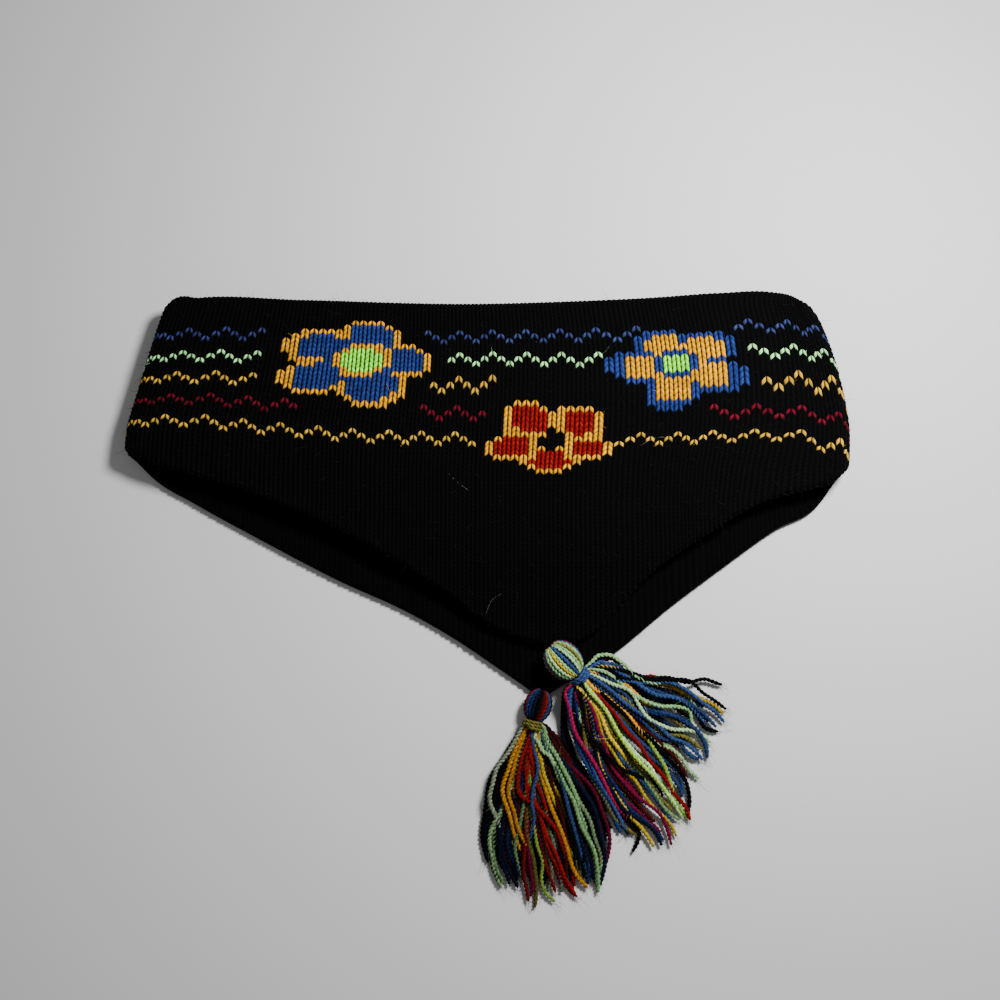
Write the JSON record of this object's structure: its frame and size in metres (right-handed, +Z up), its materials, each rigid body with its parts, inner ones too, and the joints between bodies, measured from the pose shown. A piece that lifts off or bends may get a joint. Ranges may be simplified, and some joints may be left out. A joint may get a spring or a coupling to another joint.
{
  "type": "ear warmer headband",
  "caption": "Knitted loop that covers the forehead and ears, with a patterned outer face and a yarn tassel on each ear flap, laid flat.",
  "frame": {"origin": "on the surface that the headband lies on, under the middle of its overall outline", "axes": "+Z up from the surface, +X along the band from the left fold to the right fold, +Y from the tassels towards the upper edge"},
  "size_m": [0.2541, 0.2099, 0.0145],
  "materials": {
    "knit": "black stockinette knit with a coloured pattern, matte and slightly fuzzy",
    "tassel_yarn": "plied yarn in mixed gold, green, blue, red, crimson and black, soft",
    "near_tie_yarn": "plied yarn, blue, soft",
    "far_tie_yarn": "plied yarn, yellow green, soft"
  },
  "bodies": {
    "root": {"knit_band": "knit", "near_tassel": "tassel_yarn", "near_tassel_tie": "near_tie_yarn", "far_tassel": "tassel_yarn", "far_tassel_tie": "far_tie_yarn"}
  },
  "joints": []
}
